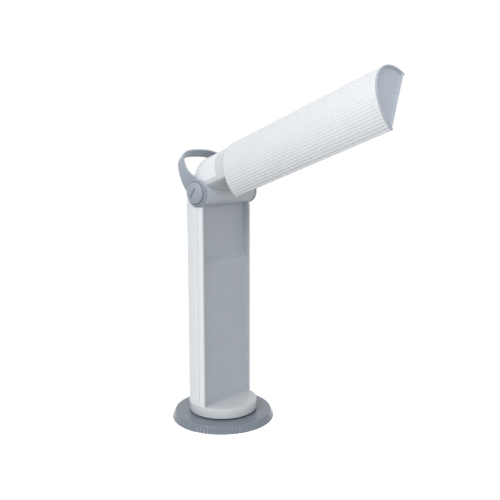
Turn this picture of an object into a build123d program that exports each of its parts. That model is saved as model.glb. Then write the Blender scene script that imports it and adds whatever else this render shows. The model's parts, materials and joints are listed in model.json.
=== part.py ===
from build123d import *
import os
from math import cos, exp, pi, radians, sin, sqrt

# A folding portable lamp: a round base, a cylindrical column with a recessed front, a neck on a
# level hinge, a ribbed half-round shade that turns about the neck, and a carrying handle.
# Millimetres. X runs along the hinge, the front faces -Y, Z is up, and the origin is the centre
# of the base's underside. With the shade down and turned to the front, it fills the cylinder.

# Base
base_radius = 64.0
base_rim_radius = 60.1
base_height = 9.1
base_wall = 2.2
base_skirt_z = 0.4
pad_radius = 60.0
pad_top = 1.0
plate_radius = 60.5
plate_top = 2.4
weight_radius = 56.0
weight_top = 6.6
base_screw_circle = 50.0
base_boss_radius = 4.5
grip_pitch_deg = 4.2
grip_first_deg = -27.0
grip_count = 12
grip_facing_deg = 47.5
mark_deg = 5.5

# Column
foot_radius = 42.5
foot_bottom = 11.05
foot_top = 22.9
shell_wall = 2.4
column_top = 267.0
back_top = 274.5
back_half_width = 40.6
front_cut = -8.8
seam_y = -1.6
seam_gap = 0.2
recess_half_width = 39.6
panel_low_y = -4.6
panel_high_y = 3.2
panel_step_z = 198.0
panel_wall = 2.0
panel_flange = 0.8
panel_top = 268.7
flange_top = 267.8
lid_bottom = 263.0
lid_top = 266.8
spine_back = 7.0
column_screw_spots = [(-22, 52), (22, 52), (-22, 246), (22, 246)]
screw_post_radius = 3.6

# What the column holds
board_y = 8.0
board_thick = 1.6
board_screw_spots = [(-24, 70), (-24, 180), (24, 70), (24, 180)]
switch_z = 226.0
switch_hole_x = 10.0
switch_hole_z = 7.8
rocker_pivot_y = 40.6
gland_z = 36.0
gland_radius = 5.6
gland_bore = 3.3

# Hinge
hinge_y = -1.6
hinge_z = 283.3
barrel_radius = 15.0
barrel_half = 30.0
arm_inner = 30.1
arm_outer = 36.0
ear_inner = 36.1
ear_outer = 40.7
shaft_radius = 4.0
running_gap = 0.06
moving_gap = 0.4
washer_radius = 12.0
washer_thick = 0.55
washer_seat = 0.5

# Handle
handle_lean_deg = 43.4
handle_half_width = 46.3
handle_height = 65.4
handle_inner_half = 43.5
handle_inner_height = 62.6
handle_arch_power = 2.9
handle_draw_start = 14.0
handle_draw_range = 8.0
strap_slim = 5.8
strap_flare = 10.4
strap_flare_range = 21.5
strap_flare_power = 1.54
eye_inner = 41.0
eye_outer = 43.8
eye_radius = 15.4
eye_rim_inner = 13.9
eye_rim_outer = 44.6
cap_radius = 12.7
cap_inner = 43.9
cap_edge = 2.8
cap_rise = 6.0
cap_slot_length = 13.0
cap_slot_width = 2.0
cap_slot_floor = 4.4
cap_slot_lean_deg = 28.3

# Neck, measured along its own axis from the point beside the hinge
neck_tilt_deg = 19.43
neck_offset = 6.28
neck_radius = 38.6
neck_wall = 2.3
neck_belly = 9.2
neck_belly_power = 1.85
neck_end = 46.8
neck_screw_x = 26.0
neck_screw_along = 23.0
neck_screw_seat = -3.8
hood_radius = 38.4
hood_rear = 24.0
hood_edge = 3.3
hood_front_low = 33.6
hood_front_slope = 0.17
nipple_radius = 4.0
nipple_bore = 2.7

# Shade, measured along the same axis and about it
shade_twist_deg = 48.2
shade_start = 47.6
shade_shell_end = 254.4
shade_end = 256.2
shade_radius = 40.5
shade_half_angle_deg = 80.65
shade_wall = 1.6
rib_count = 33
rib_half_angle_deg = 77.9
rib_depth = 0.55
edge_bead = 1.35
end_plate = 2.0
end_rim_radius = 40.4
end_rim_width = 2.7
end_dish = 2.1
end_tab_radius = 1.4
lobe_radius = 6.0

# Lamp
lamp_start = shade_start + 3.6
holder_length = 17.0
lamp_base_length = 27.0
tube_length = 142.0
tube_radius = 6.0
tube_spacing = 15.0
tube_centre = 22.0

# Points and frames that the rest is built on
tilt = radians(neck_tilt_deg)
neck_axis = (0, -cos(tilt), sin(tilt))
neck_origin = (0, hinge_y + neck_offset * sin(tilt), hinge_z + neck_offset * cos(tilt))
neck_frame = Plane(origin=neck_origin, x_dir=(1, 0, 0), z_dir=neck_axis).location
shade_frame = neck_frame * Rot(0, 0, shade_twist_deg)
lean = radians(handle_lean_deg)
# In the handle's frame, local Y runs up the handle and local Z along the hinge
handle_frame = Plane(origin=(0, hinge_y, hinge_z), x_dir=(0, cos(lean), -sin(lean)), z_dir=(1, 0, 0)).location
hinge_frame = Plane(origin=(0, hinge_y, hinge_z), x_dir=(0, 1, 0), z_dir=(1, 0, 0)).location


def disc(radius, low, high):
    return Pos(0, 0, low) * extrude(Circle(radius), high - low)


def ring(outer, inner, low, high):
    return disc(outer, low, high) - disc(inner, low - 1, high + 1)


def block(x0, x1, y0, y1, z0, z1):
    return Pos((x0 + x1) / 2, (y0 + y1) / 2, (z0 + z1) / 2) * Box(x1 - x0, y1 - y0, z1 - z0)


def turned(points):
    # A closed outline of (radius, height) points carried round the Z axis
    return revolve(Plane.XZ * make_face(Polyline(*points, close=True)), Axis.Z)


def both_sides(piece):
    # The piece and its mirror image across the middle plane, as separate solids
    return [piece, mirror(piece, Plane.YZ)]


def hinge_pin(radius, x0, x1):
    # A cylinder on the hinge axis from x0 to x1
    return hinge_frame * disc(radius, x0, x1)


def save(name, solids):
    parts = solids if isinstance(solids, list) else [solids]
    flat = [s for part in parts for s in part.solids()]
    export_step(Compound(children=flat) if len(flat) > 1 else flat[0], f"parts/{name}.step")


# ---- Base ----

def screw_places(radius, count, first_deg):
    return [Rot(0, 0, first_deg + 360 * k / count) * Pos(radius, 0, 0) for k in range(count)]


def make_base_cover():
    slope = (base_radius - base_rim_radius) / (base_height - base_skirt_z)
    inner_top = base_rim_radius - base_wall + slope * (base_height - weight_top)
    shell = turned([
        (base_radius, base_skirt_z), (base_rim_radius + 0.4, base_height - 0.9),
        (base_rim_radius - 0.6, base_height), (shaft_radius + 2.05, base_height),
        (shaft_radius + 2.05, weight_top), (inner_top, weight_top), (base_radius - base_wall, base_skirt_z),
    ])
    for place in screw_places(base_screw_circle, 4, 45):
        shell += place * disc(base_boss_radius, plate_top, weight_top + 0.5)
        shell -= place * disc(1.45, plate_top - 1, weight_top + 1.2)
    return shell - grip_grooves() - turn_mark()


def facing(angle_deg):
    # Turns local X to the outward direction that lies angle_deg to the right of the grip's middle
    return Rot(0, 0, 270 - grip_facing_deg + angle_deg)


def grip_grooves():
    # Upright flutes in one sector of the flared rim, for turning the column by hand
    flare_deg = 24.0
    grooves = []
    for k in range(grip_count):
        angle = grip_first_deg + k * grip_pitch_deg
        place = facing(angle) * Pos(base_radius - 0.4, 0, base_skirt_z) * Rot(0, -flare_deg, 0)
        grooves.append(place * disc(1.25, -2, base_height + 3))
    return grooves


def turn_mark():
    # A small arrow-shaped dimple that shows where the column's stop is
    outline = make_face(Polyline((-1.3, 0), (1.3, 0), (0, -2.4), close=True))
    wall = Plane(origin=(base_radius - 2.6, 0, 5.6), x_dir=(0, 1, 0), z_dir=(1, 0, 0))
    return facing(mark_deg) * extrude(wall * outline, 4)


def make_base_weight():
    weight = ring(weight_radius, 14, plate_top, weight_top)
    for place in screw_places(base_screw_circle, 4, 45):
        weight -= place * disc(base_boss_radius + 0.2, plate_top - 1, weight_top + 1)
    return weight


def make_base_plate():
    plate = disc(plate_radius, pad_top, plate_top)
    for place in screw_places(base_screw_circle, 4, 45):
        plate -= place * disc(1.6, pad_top - 1, plate_top + 1)
    return plate


def make_base_pad():
    pad = disc(pad_radius, 0, pad_top)
    for place in screw_places(base_screw_circle, 4, 45):
        pad -= place * disc(3.6, -1, pad_top + 1)
    return pad


def make_base_screws():
    screw = disc(3.2, 0.25, pad_top) + disc(1.4, pad_top, weight_top + 0.4)
    screw -= block(-2.2, 2.2, -0.4, 0.4, 0, 0.7)
    return [place * screw for place in screw_places(base_screw_circle, 4, 45)]


def make_turntable_ring():
    return ring(40.5, 8.0, base_height, foot_bottom)


# ---- Column ----

def make_turn_spindle():
    shoulder = shaft_radius + 2.0
    spindle = disc(10, 3.6, weight_top - 0.1) + disc(shoulder, weight_top - 0.1, foot_bottom)
    spindle += disc(shaft_radius, foot_bottom, 19.5)
    return spindle - extrude(Pos(0, 0, 3.6) * RegularPolygon(3, 6), 1.8)


def make_hub_insert():
    return ring(6.5, shaft_radius, foot_bottom, 19.5)


def make_foot():
    cup = disc(foot_radius, foot_bottom, foot_top) - ring(39.0, 12.0, foot_bottom - 1, foot_top - 2.5)
    cup -= disc(6.5, foot_bottom - 1, 19.5)
    rim = cup.edges().filter_by(GeomType.CIRCLE).filter_by(lambda e: abs(e.radius - foot_radius) < 0.01)
    return chamfer(rim.sort_by(Axis.Z)[-1], 0.5)


def outline_behind(radius, y):
    # The part of a disc's outline that lies behind the plane at y
    return Circle(radius) & Pos(0, y + 50) * Rectangle(200, 100)


def hollow_column(top):
    tube = extrude(Circle(foot_radius), top - foot_top)
    top_edge = tube.edges().filter_by(GeomType.CIRCLE).sort_by(Axis.Z)[-1]
    tube = Pos(0, 0, foot_top) * fillet(top_edge, 1.6)
    return tube - disc(foot_radius - shell_wall, foot_top - 1, top + 1)


def make_rear_shell():
    # The back rises behind the hinge, clear of the ears and of the handle's eyes
    back = hollow_column(back_top)
    back &= block(-back_half_width, back_half_width, hinge_y + 6.4, 60, column_top - 4, back_top)
    tube = hollow_column(column_top) + (back - hinge_pin(barrel_radius + 0.6, -60, 60))
    tube &= block(-60, 60, seam_y + seam_gap, 60, foot_top, back_top)
    tube -= block(-switch_hole_x, switch_hole_x, 30, 50, switch_z - switch_hole_z, switch_z + switch_hole_z)
    tube -= Pos(0, 36, gland_z) * Rot(-90, 0, 0) * Cylinder(gland_radius, 30)
    for x, z in column_screw_spots:
        place = Pos(x, 0, z) * Rot(-90, 0, 0)
        tube += place * disc(4.8, post_end(x), 45) & disc(foot_radius, foot_top, column_top)
        tube -= place * (disc(1.8, 20, 60) + disc(3.3, head_seat(x), 60))
    return tube


def shell_depth(x, radius):
    return sqrt(radius * radius - x * x)


def post_end(x):
    # Where a screw post of the front frame meets the boss inside the rear shell
    return shell_depth(abs(x) + screw_post_radius, foot_radius - shell_wall)


def head_seat(x):
    return post_end(x) + 1.5


def make_column_screws():
    # Long screws from behind, through the rear shell into posts on the front frame
    screws = []
    for x, z in column_screw_spots:
        seat = head_seat(x)
        shape = disc(1.7, 14, seat) + disc(3.1, seat, seat + 1.8)
        shape -= block(-2.2, 2.2, -0.4, 0.4, seat + 0.9, seat + 2)
        shape -= block(-0.4, 0.4, -2.2, 2.2, seat + 0.9, seat + 2)
        screws.append(Pos(x, 0, z) * Rot(-90, 0, 0) * shape)
    return screws


def make_front_frame():
    # Two side rails, joined behind the panel by a bar at the foot, a spine and a bar at the top
    side = Circle(foot_radius) & Pos(50 + recess_half_width, 0) * Rectangle(100, 200)
    rail = Pos(0, 0, foot_top) * extrude(side, column_top - foot_top)
    rail &= block(0, 60, front_cut, seam_y - seam_gap, foot_top, column_top)
    low_y = panel_low_y + panel_wall
    frame = Part() + rail + mirror(rail, Plane.YZ)
    frame += block(-41.0, 41.0, low_y, seam_y - seam_gap, 26, 42)
    frame += block(-38.5, 38.5, low_y, spine_back, 26, 42)
    frame += block(-8, 8, panel_high_y + panel_wall, spine_back, 26, 262)
    frame += block(-38.5, 38.5, panel_high_y + panel_wall, spine_back, 250, 262)
    for x, z in column_screw_spots:
        frame += block(x - 4, x + 4, panel_high_y + panel_wall, spine_back, z - 12, z + 12)
        frame += Pos(x, 0, z) * Rot(-90, 0, 0) * disc(screw_post_radius, spine_back - 1, post_end(x))
        frame -= Pos(x, 0, z) * Rot(-90, 0, 0) * disc(1.7, 14, 60)
    return frame


def make_front_panel():
    # A tray: low recess for the shade, a sloping step, and a deeper recess for the neck
    slope_end = panel_step_z + (panel_high_y - panel_low_y)
    back = panel_wall
    front_line = [(panel_low_y, foot_top), (panel_low_y, panel_step_z), (panel_high_y, slope_end),
                  (panel_high_y, panel_top)]
    back_line = [(panel_high_y + back, panel_top), (panel_high_y + back, slope_end - 0.8 * back),
                 (panel_low_y + back, panel_step_z - 0.4 * back), (panel_low_y + back, foot_top)]
    outline = Plane.YZ * make_face(Polyline(*front_line, *back_line, close=True))
    floor = extrude(outline, recess_half_width, both=True)
    side = [(front_cut + 0.5, foot_top), *back_line[::-1], (front_cut + 0.5, panel_top)]
    flange = extrude(Plane.YZ * make_face(Polyline(*side, close=True)), panel_flange)
    flange &= block(-60, 60, -60, 60, 0, flange_top)
    tray = floor + Pos(recess_half_width - panel_flange, 0, 0) * flange + Pos(-recess_half_width, 0, 0) * flange
    for x, z in board_screw_spots:
        tray += Pos(x, 0, z) * Rot(-90, 0, 0) * disc(3, panel_low_y + 1, board_y)
    return tray


def make_hinge_barrel():
    # The lid of the column, the fixed barrel on its web, and an ear at each end on a seat of its own
    behind_panel = panel_high_y + panel_wall
    lid = Pos(0, 0, lid_bottom) * extrude(outline_behind(foot_radius - shell_wall, 7.2), lid_top - lid_bottom)
    lid += block(-38.5, 38.5, behind_panel, 7.4, lid_bottom, lid_top)
    barrel = hinge_pin(barrel_radius, -barrel_half, barrel_half)
    web = block(-barrel_half, barrel_half, behind_panel, 13, 264, 276)
    ear = hinge_pin(barrel_radius, ear_inner, ear_outer)
    ear += block(ear_inner, 38.5, behind_panel, 10, 264, 275)
    ear += block(ear_inner, ear_outer, hinge_y - 6, hinge_y + 6, panel_top + 0.05, panel_top + 2)
    ear += block(recess_half_width + 0.1, ear_outer, hinge_y - 6, hinge_y + 6, column_top + 0.05, panel_top + 2)
    whole = lid + barrel + web + ear + mirror(ear, Plane.YZ) - hinge_pin(shaft_radius, -60, 60)
    for seat in both_sides(hinge_pin(washer_radius + 0.2, barrel_half - washer_seat, barrel_half + 1)):
        whole -= seat
    for seat in both_sides(hinge_pin(washer_radius + 0.2, ear_inner - 1, ear_inner + washer_seat)):
        whole -= seat
    return whole


def make_hinge_shaft():
    return hinge_pin(shaft_radius, -cap_inner, cap_inner) - hinge_pin(2.2, -60, 60)


def make_pivot_caps():
    # Pillow-shaped discs with a coin slot; the surface falls off towards the edge ever more steeply
    def height(share):
        return cap_edge + (cap_rise - cap_edge) * (1 - share ** 2.4) ** 0.62

    crown = [(cap_radius * share, height(share)) for share in (0, 0.25, 0.5, 0.7, 0.85, 0.95, 1)]
    outline = Spline(*crown, tangents=[(1, 0), (0, -1)]) + Line(crown[-1], (cap_radius, 0))
    outline += Line((cap_radius, 0), (0, 0)) + Line((0, 0), crown[0])
    cap = revolve(Plane.XZ * make_face(outline), Axis.Z)
    half, reach = cap_slot_width / 2, cap_slot_length / 2
    slot = block(-half, half, -reach, reach, cap_slot_floor, 8)
    right = hinge_frame * Pos(0, 0, cap_inner) * (cap - Rot(0, 0, cap_slot_lean_deg) * slot)
    return both_sides(right)


def make_friction_washers():
    # Each washer lies in a seat and takes up most of the gap to the arm
    washer = ring(washer_radius, shaft_radius + running_gap, 0, washer_thick)
    starts = (barrel_half - washer_seat, ear_inner + washer_seat - washer_thick)
    return [piece for x in starts for piece in both_sides(hinge_frame * Pos(0, 0, x) * washer)]


def make_ballast_board():
    board = block(-30, 30, board_y, board_y + board_thick, 60, 190)
    for x, z in board_screw_spots:
        board -= Pos(x, 20, z) * Rot(-90, 0, 0) * Cylinder(1.2, 60)
    return board


def make_board_screws():
    screw = disc(2.4, board_y + board_thick, board_y + board_thick + 1.4)
    screw += disc(1.1, board_y, board_y + board_thick)
    return [Pos(x, 0, z) * Rot(-90, 0, 0) * screw for x, z in board_screw_spots]


def make_choke_core():
    front = board_y + board_thick
    core = block(-14, 14, front, front + 22, 128, 164)
    core -= block(-8, -4, front - 1, front + 30, 134, 158)
    return core - block(4, 8, front - 1, front + 30, 134, 158)


def make_choke_winding():
    front = board_y + board_thick
    coil = block(-7.6, 7.6, front + 1, front + 21, 134.4, 157.6)
    return coil - block(-4, 4, front, front + 30, 130, 170)


def make_capacitor():
    front = board_y + board_thick
    can = Pos(-12, front + 9, 88) * Cylinder(9, 30)
    return chamfer(can.edges().filter_by(GeomType.CIRCLE), 0.8)


def make_terminal_block():
    front = board_y + board_thick
    terminals = block(2, 26, front, front + 11, 76, 92)
    for k in range(3):
        terminals -= Pos(6.0 + 8 * k, front + 11, 84) * Rot(-90, 0, 0) * Cylinder(2, 8)
    return terminals


def make_switch_body():
    x, z = switch_hole_x, switch_hole_z
    body = block(-x, x, 31, 43, switch_z - z, switch_z + z)
    bezel = block(-x - 1.4, x + 1.4, 40, 44.0, switch_z - z - 1.2, switch_z + z + 1.2)
    body += bezel - disc(foot_radius, 0, 300)
    body -= block(-8.9, 8.9, 34.4, 50, switch_z - 6.9, switch_z + 6.9)
    return body - switch_pin(1.5, 9.6)


def switch_pin(radius, half):
    return Pos(0, rocker_pivot_y, switch_z) * Rot(0, 90, 0) * Cylinder(radius, 2 * half)


def make_switch_rocker():
    outline = Polyline(
        (-3.2, -2.6), (-3.2, 2.6), (1.6, 5.5), (5.0, 5.6), (3.3, 0), (3.5, -5.6), (0.4, -5.4), close=True)
    body = Pos(0, rocker_pivot_y, switch_z) * extrude(Plane.YZ * make_face(outline), 8.5, both=True)
    return body + switch_pin(1.4, 9.4)


def make_cord_gland():
    barrel = disc(gland_radius, 33, 42.6) + disc(7.6, 42.6, 44.6) + disc(6.2, 44.6, 46.2)
    gland = Pos(0, 0, gland_z) * Rot(-90, 0, 0) * (barrel - disc(gland_bore, 30, 50))
    return gland


# ---- Handle ----

def arch(half_width, height, foot_half, depth):
    # A superellipse arch above the hinge whose feet draw in to foot_half, with a box below it
    steps = 26
    points = []
    for k in range(steps + 1):
        share = k / steps
        angle = pi / 2 * share * share * (3 - 2 * share)
        side = half_width * abs(cos(angle)) ** (2 / handle_arch_power)
        up = height * abs(sin(angle)) ** (2 / handle_arch_power)
        drawn = exp(-((max(0.0, up - handle_draw_start) / handle_draw_range) ** 2))
        points.append((side + (foot_half - side) * drawn, up))
    points[-1] = (0, height)
    outline = Spline(*points, tangents=[(0, 1), (-1, 0)]) + Line((0, height), (0, -eye_radius))
    outline += Line((0, -eye_radius), (foot_half, -eye_radius)) + Line((foot_half, -eye_radius), (foot_half, 0))
    half = make_face(outline)
    # The sketch's X is the hinge direction and its Y is up the handle
    sheet = extrude(Plane(origin=(0, 0, 0), x_dir=(0, 0, -1), z_dir=(1, 0, 0)) * half, depth, both=True)
    return sheet + mirror(sheet, Plane.XY)


def strap_half_width(up):
    return strap_slim + strap_flare * exp(-((up / strap_flare_range) ** strap_flare_power))


def make_handle_strap():
    band = arch(handle_half_width, handle_height, eye_outer, 20)
    band -= arch(handle_inner_half, handle_inner_height, eye_inner, 30)
    right = [(strap_half_width(h), h) for h in (6, 12, 18, 25, 33, 42, 52)]
    left = [(-w, h) for w, h in right[::-1]]
    top = handle_height + 5
    blade = Spline(*right) + Line(right[-1], (strap_slim, top)) + Line((strap_slim, top), (-strap_slim, top))
    blade += Line((-strap_slim, top), left[0]) + Spline(*left) + Line(left[-1], right[0])
    side = extrude(make_face(blade), 60, both=True) + extrude(Circle(eye_radius), 60, both=True)
    # The rims start inside the band, so that each is joined to it
    rim = ring(eye_radius, eye_rim_inner, eye_outer - 0.3, eye_rim_outer)
    strap = (band & side) + rim + mirror(rim, Plane.XY)
    strap -= disc(eye_rim_inner, eye_outer, 60) + disc(eye_rim_inner, -60, -eye_outer)
    strap -= disc(shaft_radius + running_gap, -60, 60)
    return handle_frame * strap


# ---- Neck ----

def neck_outline(round_radius, belly):
    # Half a circle above the axis and a shallow superellipse below it
    upper = Circle(round_radius) & Pos(0, 50) * Rectangle(200, 100)
    steps = 9
    points = []
    for k in range(steps + 1):
        across = cos(pi / 2 * k / steps)
        drop = (1 - across ** neck_belly_power) ** (1 / neck_belly_power)
        points.append((round_radius * across, -belly * drop))
    points[-1] = (0, -belly)
    right = make_face(Spline(*points, tangents=[(0, -1), (-1, 0)]) + Polyline((0, -belly), (0, 0), points[0]))
    return upper + right + mirror(right, Plane.YZ)


def neck_screw_places():
    # Local Z of each place points up, away from the belly
    return [Pos(x, 0, neck_screw_along) * Rot(-90, 0, 0) for x in (-neck_screw_x, neck_screw_x)]


def hinge_clearance():
    # Room for the barrel, in the neck's frame
    return Pos(0, -neck_offset, 0) * Rot(0, 90, 0) * Cylinder(barrel_radius + moving_gap, 200)


def hood_room(grow):
    # Everything above the hood's lower edge and behind its sloping front edge
    front = hood_front_low + grow
    outline = Polyline((hood_edge - grow, -60), (hood_edge - grow, front - hood_front_slope * hood_edge),
                       (60, front - hood_front_slope * 60), (60, -60), close=True)
    side_view = Plane(origin=(0, 0, 0), x_dir=(0, 1, 0), z_dir=(1, 0, 0)) * make_face(outline)
    return extrude(side_view, 60, both=True)


def make_hood():
    # A tube whose rear end is closed by a flattened dome
    def bullet(radius, rear):
        half = Ellipse(radius, rear) & Pos(50, 0) * Rectangle(100, 100)
        return disc(radius, 0, 60) + revolve(Plane.XZ * half, Axis.Z)

    inner = bullet(hood_radius - neck_wall, hood_rear - neck_wall)
    hood = (bullet(hood_radius, hood_rear) - inner) & hood_room(0)
    top = shell_depth(neck_screw_x + 3, hood_radius - 1)
    for place in neck_screw_places():
        hood += place * ring(3.0, 1.15, neck_screw_seat + 1.8, top)
    return hood - hinge_clearance()


def make_neck_shell():
    outer = extrude(neck_outline(neck_radius, neck_belly), neck_end)
    cavity = extrude(neck_outline(neck_radius - neck_wall, neck_belly - neck_wall), neck_end - 2.5)
    shell = outer - cavity - hood_room(0.3)
    for place in neck_screw_places():
        shell += outer & place * disc(3.6, -20, neck_screw_seat + 1.7)
        shell -= place * (disc(1.4, -20, 10) + disc(1.95, -20, neck_screw_seat))
    return (shell - hinge_clearance() - disc(nipple_radius, 0, 60)) & block(-60, 60, -60, 60, 5, 60)


def make_neck_yoke():
    # Two eyes on the hinge, joined by arms to a cross plate behind the collar's end
    arm = Pos(0, -neck_offset, 0) * Rot(0, 90, 0) * disc(barrel_radius, arm_inner, arm_outer)
    arm += block(arm_inner, 34.5, -0.8, 8, 8, neck_end - 2.5)
    plate = block(-34.5, 34.5, -0.8, 10, neck_end - 5.5, neck_end - 2.5)
    plate += disc(9, neck_end - 5.5, neck_end - 2.5) & block(-20, 20, -3.6, 20, 0, 60)
    yoke = Part() + arm + mirror(arm, Plane.YZ) + plate
    bore = Pos(0, -neck_offset, 0) * Rot(0, 90, 0) * Cylinder(shaft_radius + running_gap, 200)
    return yoke - bore - disc(nipple_radius, 0, 60)


def make_neck_screws():
    low = neck_screw_seat - 1.1
    screw = disc(1.75, low, neck_screw_seat) + disc(1.15, neck_screw_seat, 9)
    screw -= block(-1.3, 1.3, -0.3, 0.3, low - 1, low + 0.5)
    return [place * screw for place in neck_screw_places()]


def make_pivot_nipple():
    return ring(nipple_radius, nipple_bore, neck_end - 10, shade_start + 11)


def make_nipple_nuts():
    def nut(low, high):
        hexagon = Pos(0, 0, low) * extrude(RegularPolygon(5.9, 6), high - low)
        return hexagon - disc(nipple_radius, low - 1, high + 1)

    inner = nut(neck_end - 9.0, neck_end - 5.5) & block(-20, 20, -3.6, 20, 0, 60)
    return [inner, nut(shade_start + 4.1, shade_start + 7.5)]


# ---- Shade ----

def half_round(radius, inset=0.0):
    # The area between the arc of the given radius and the shade's straight opening
    chord = shade_radius * cos(radians(shade_half_angle_deg)) + inset
    return Circle(radius - inset) & Pos(0, chord + 50) * Rectangle(200, 100)


def round_the_twist(radius, angle_deg):
    turn = radians(90 + angle_deg)
    return (radius * cos(turn), radius * sin(turn))


def at_long_edges(shape):
    # The shape at the middle of the rounded lip along each long edge
    reach = shade_radius - edge_bead
    return [Pos(*round_the_twist(reach, side * shade_half_angle_deg)) * shape for side in (-1, 1)]


def rib_arcs():
    # Rounded ribs side by side, each one an arc over its share of the angle, and a plain strip
    # between the last rib and the lip
    step = 2 * rib_half_angle_deg / rib_count
    root = shade_radius - rib_depth
    stops = [(-shade_half_angle_deg, -rib_half_angle_deg, root)]
    for k in range(rib_count):
        start = -rib_half_angle_deg + k * step
        stops.append((start, start + step, shade_radius))
    stops.append((rib_half_angle_deg, shade_half_angle_deg, root))
    return [ThreePointArc(round_the_twist(root, start), round_the_twist(crest, (start + end) / 2),
                          round_the_twist(root, end)) for start, end, crest in stops]


def make_shade_shell():
    arcs = rib_arcs()
    root = shade_radius - rib_depth
    first, last = (round_the_twist(root, side * shade_half_angle_deg) for side in (-1, 1))
    section = make_face(arcs + [Line(last, (0, 0)), Line((0, 0), first)]) - Circle(plate_fit())
    section += at_long_edges(Circle(edge_bead))
    return Pos(0, 0, shade_start) * extrude(section, shade_shell_end - shade_start)


def plate_fit():
    return shade_radius - shade_wall - rib_depth


def far_plate_low():
    return shade_end - end_dish - end_plate


def make_far_end_cap():
    # A dished moulding: a plate inside the shell, a rim that covers the shell's end, and a tab over
    # the end of each lip
    dish = half_round(end_rim_radius, end_rim_width)
    plug = half_round(plate_fit()) - at_long_edges(Circle(edge_bead))
    low = far_plate_low()
    cap = Pos(0, 0, low) * extrude(plug, end_plate)
    cap += Pos(0, 0, low) * extrude(plug - dish, shade_shell_end - low)
    rim = half_round(end_rim_radius) - dish + at_long_edges(Circle(end_tab_radius))
    return cap + Pos(0, 0, shade_shell_end) * extrude(rim, shade_end - shade_shell_end)


def make_near_end_plate():
    chord = shade_radius * cos(radians(shade_half_angle_deg))
    lobe = make_face(Polyline(
        (-14, chord + 1), (14, chord + 1), (lobe_radius, 0), (-lobe_radius, 0), close=True))
    plate = half_round(plate_fit()) - at_long_edges(Circle(edge_bead)) + lobe + Circle(lobe_radius)
    plate -= Circle(nipple_radius + running_gap)
    return Pos(0, 0, shade_start + 0.6) * extrude(plate, 3.0)


def make_reflector():
    # A bright curved sheet inside the shell, its ends against the two end plates
    outer = plate_fit() - 1.0
    floor = half_round(outer) - half_round(outer - 0.8)
    keep = Pos(0, 12 + 50) * Rectangle(200, 100)
    low = shade_start + 3.6
    return Pos(0, 0, low) * extrude(floor & keep, far_plate_low() - low)


def make_reflector_clips():
    # Blocks that hold the reflector off the shell
    clips = []
    for along in (shade_start + 30, shade_shell_end - 40):
        pad = ring(plate_fit(), plate_fit() - 1.0, along, along + 8)
        for angle in (-50, 50):
            clips.append(pad & Rot(0, 0, angle) * block(-3, 3, 20, 60, 0, 300))
    return clips


def make_lampholder():
    body = block(-17, 17, 13.5, 31, lamp_start, lamp_start + holder_length)
    back = block(-9, 9, 30, plate_fit() - 3.2, lamp_start, lamp_start + 10)
    body += back
    socket = block(-13, 13, 16.5, 28, lamp_start + 6, lamp_start + holder_length + 1)
    return body - socket


def make_lamp_base():
    low = lamp_start + holder_length
    body = block(-16.5, 16.5, 14, 30.4, low, low + lamp_base_length)
    body = fillet(body.edges().filter_by(Axis.Z), 5)
    plug = block(-12.6, 12.6, 16.9, 27.6, low - 10, low)
    return body + plug


def make_lamp_tubes():
    low = lamp_start + holder_length + lamp_base_length
    half = tube_spacing / 2
    tubes = []
    for side in (-1, 1):
        tube = disc(tube_radius, low, low + tube_length)
        tube = fillet(tube.edges().filter_by(GeomType.CIRCLE).sort_by(Axis.Z)[-1], 4.5)
        tubes.append(Pos(side * half, tube_centre, 0) * tube)
    bridge = Pos(0, tube_centre, low + tube_length - 14) * Rot(0, 90, 0) * Cylinder(3.0, tube_spacing)
    return Part() + tubes[0] + tubes[1] + bridge


def make_tube_clip():
    # A sprung saddle that holds the far end of the lamp off the reflector
    low = lamp_start + holder_length + lamp_base_length + 104
    half = tube_spacing / 2
    saddle = block(-16, 16, tube_centre + 1.5, tube_centre + 9, low, low + 9)
    for side in (-1, 1):
        saddle -= Pos(side * half, tube_centre, low) * Cylinder(tube_radius, 60)
    stem = block(-5, 5, tube_centre + 8, plate_fit() - 2.2, low, low + 9)
    return saddle + stem


pieces = {
    "base_cover": make_base_cover,
    "base_weight": make_base_weight,
    "base_plate": make_base_plate,
    "base_pad": make_base_pad,
    "base_screws": make_base_screws,
    "turntable_ring": make_turntable_ring,
    "turn_spindle": make_turn_spindle,
    "hub_insert": make_hub_insert,
    "foot": make_foot,
    "rear_shell": make_rear_shell,
    "front_frame": make_front_frame,
    "front_panel": make_front_panel,
    "column_screws": make_column_screws,
    "hinge_barrel": make_hinge_barrel,
    "hinge_shaft": make_hinge_shaft,
    "pivot_caps": make_pivot_caps,
    "friction_washers": make_friction_washers,
    "ballast_board": make_ballast_board,
    "board_screws": make_board_screws,
    "choke_core": make_choke_core,
    "choke_winding": make_choke_winding,
    "capacitor": make_capacitor,
    "terminal_block": make_terminal_block,
    "switch_body": make_switch_body,
    "switch_rocker": make_switch_rocker,
    "cord_gland": make_cord_gland,
}
neck_pieces = {
    "hood": make_hood,
    "neck_shell": make_neck_shell,
    "neck_yoke": make_neck_yoke,
    "neck_screws": make_neck_screws,
    "pivot_nipple": make_pivot_nipple,
    "nipple_nuts": make_nipple_nuts,
}
shade_pieces = {
    "shade_shell": make_shade_shell,
    "far_end_cap": make_far_end_cap,
    "near_end_plate": make_near_end_plate,
    "reflector": make_reflector,
    "reflector_clips": make_reflector_clips,
    "lampholder": make_lampholder,
    "lamp_base": make_lamp_base,
    "lamp_tubes": make_lamp_tubes,
    "tube_clip": make_tube_clip,
}

os.makedirs("parts", exist_ok=True)


def placed(frame, made):
    return [frame * part for part in (made if isinstance(made, list) else [made])]


for name, make in pieces.items():
    save(name, make())
save("handle", make_handle_strap())
for name, make in neck_pieces.items():
    save(name, placed(neck_frame, make()))
for name, make in shade_pieces.items():
    save(name, placed(shade_frame, make()))
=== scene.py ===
import json
import math

import bmesh
import bpy
import numpy as np
from mathutils import Matrix, Vector


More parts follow.
